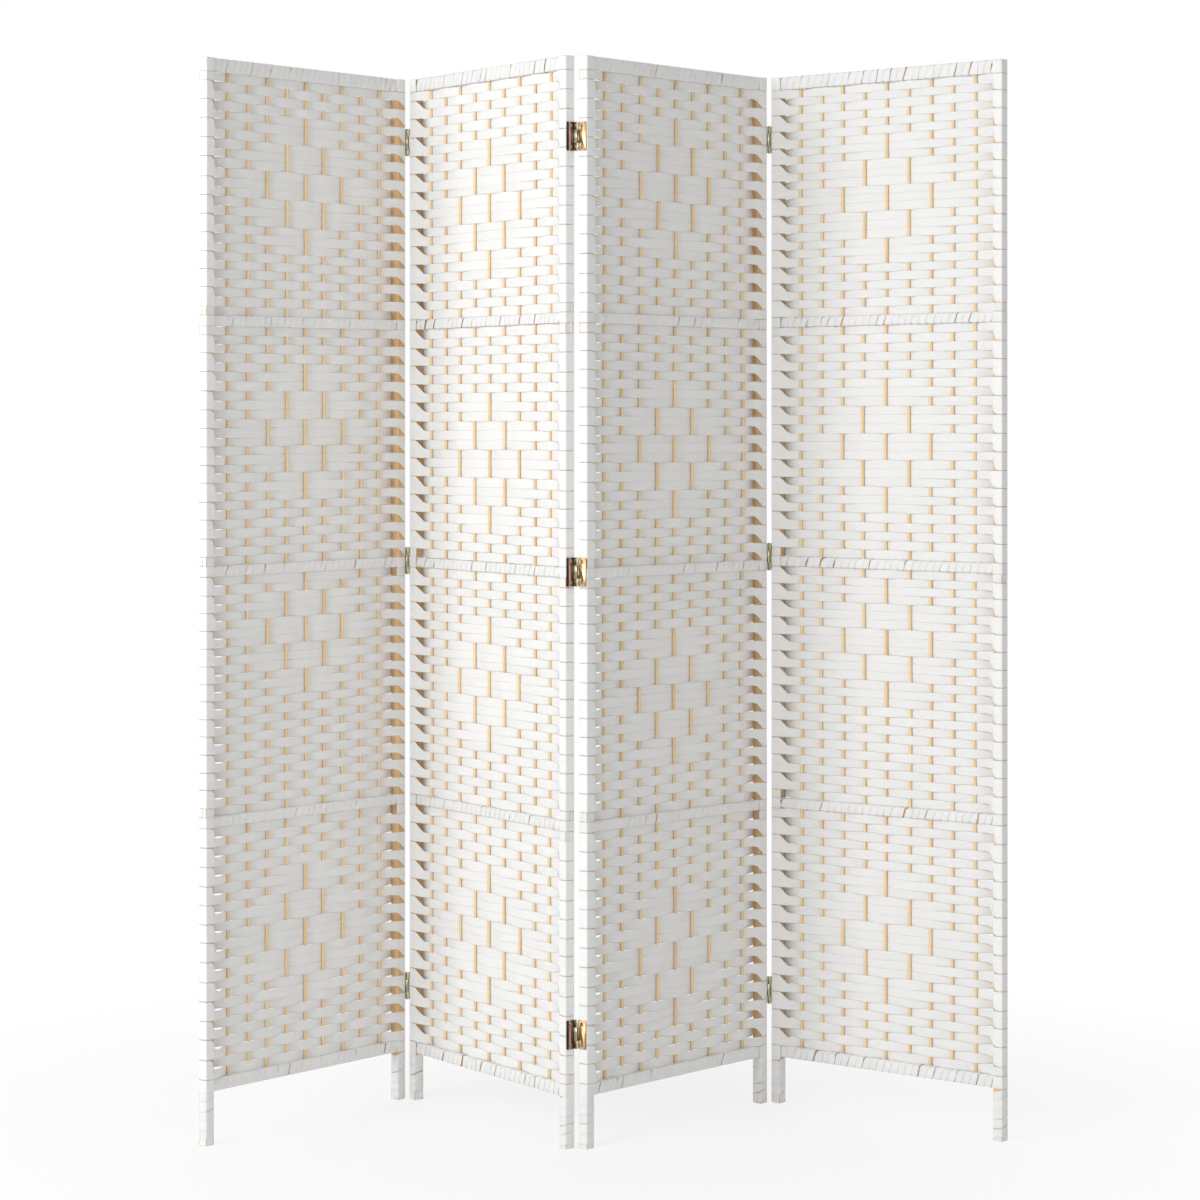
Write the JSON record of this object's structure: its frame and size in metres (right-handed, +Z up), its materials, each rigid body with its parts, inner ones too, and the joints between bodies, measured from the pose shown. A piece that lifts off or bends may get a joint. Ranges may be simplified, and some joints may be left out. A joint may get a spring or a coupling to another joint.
{
  "type": "folding room divider screen",
  "caption": "Folding floor screen of hinged tall panels, woven all over from flat white ribbon on thin upright sticks, with a small diamond of bare sticks in every section.",
  "frame": {"origin": "on the floor, at the centre of the whole screen's plan as it stands folded in the picture", "axes": "+Z up, +X along the row of panels to the viewer's right, -Y towards the viewer"},
  "size_m": [1.268, 0.3772, 1.7],
  "materials": {
    "ribbon": "matt flat ribbon of twisted paper cords",
    "ribbon_wound_wood": "wood wound all over with the matt white ribbon",
    "raw_wood": "sawn, unfinished",
    "stake_wood": "smooth natural stick",
    "hinge_metal": "yellow passivated, darkened",
    "screw_metal": "yellow passivated"
  },
  "bodies": {
    "panel_1": {"panel_1_left_post": "raw_wood", "panel_1_right_post": "raw_wood", "panel_1_left_post_ribbon": "ribbon", "panel_1_right_post_ribbon": "ribbon", "panel_1_top_rail": "ribbon_wound_wood", "panel_1_middle_rails": "ribbon_wound_wood", "panel_1_bottom_rail": "ribbon_wound_wood", "panel_1_stakes": "stake_wood", "panel_1_woven_sections": "ribbon", "hinge_12_left_leaves": "hinge_metal", "hinge_12_left_screws": "screw_metal"},
    "panel_2": {"panel_2_left_post": "raw_wood", "panel_2_right_post": "raw_wood", "panel_2_left_post_ribbon": "ribbon", "panel_2_right_post_ribbon": "ribbon", "panel_2_top_rail": "ribbon_wound_wood", "panel_2_middle_rails": "ribbon_wound_wood", "panel_2_bottom_rail": "ribbon_wound_wood", "panel_2_stakes": "stake_wood", "panel_2_woven_sections": "ribbon", "hinge_12_right_leaves": "hinge_metal", "hinge_12_right_screws": "screw_metal", "hinge_12_pins": "hinge_metal", "hinge_23_left_leaves": "hinge_metal", "hinge_23_left_screws": "screw_metal", "hinge_23_pins": "hinge_metal"},
    "panel_3": {"panel_3_left_post": "raw_wood", "panel_3_right_post": "raw_wood", "panel_3_left_post_ribbon": "ribbon", "panel_3_right_post_ribbon": "ribbon", "panel_3_top_rail": "ribbon_wound_wood", "panel_3_middle_rails": "ribbon_wound_wood", "panel_3_bottom_rail": "ribbon_wound_wood", "panel_3_stakes": "stake_wood", "panel_3_woven_sections": "ribbon", "hinge_23_right_leaves": "hinge_metal", "hinge_23_right_screws": "screw_metal", "hinge_34_left_leaves": "hinge_metal", "hinge_34_left_screws": "screw_metal"},
    "panel_4": {"panel_4_left_post": "raw_wood", "panel_4_right_post": "raw_wood", "panel_4_left_post_ribbon": "ribbon", "panel_4_right_post_ribbon": "ribbon", "panel_4_top_rail": "ribbon_wound_wood", "panel_4_middle_rails": "ribbon_wound_wood", "panel_4_bottom_rail": "ribbon_wound_wood", "panel_4_stakes": "stake_wood", "panel_4_woven_sections": "ribbon", "hinge_34_right_leaves": "hinge_metal", "hinge_34_right_screws": "screw_metal", "hinge_34_pins": "hinge_metal"}
  },
  "joints": [
    {"name": "fold_12", "type": "hinge", "parent": "panel_2", "child": "panel_1", "pos_m": [-0.32864, 0.17744, 0.9], "axis": [0, 0, 1], "range_deg": [-103.8, 76.2]},
    {"name": "fold_23", "type": "hinge", "parent": "panel_2", "child": "panel_3", "pos_m": [-0.04362, -0.1771, 0.9], "axis": [0, 0, 1], "range_deg": [-102.4, 77.6]},
    {"name": "fold_34", "type": "hinge", "parent": "panel_3", "child": "panel_4", "pos_m": [0.27351, 0.14905, 0.9], "axis": [0, 0, 1], "range_deg": [-92, 88]}
  ]
}
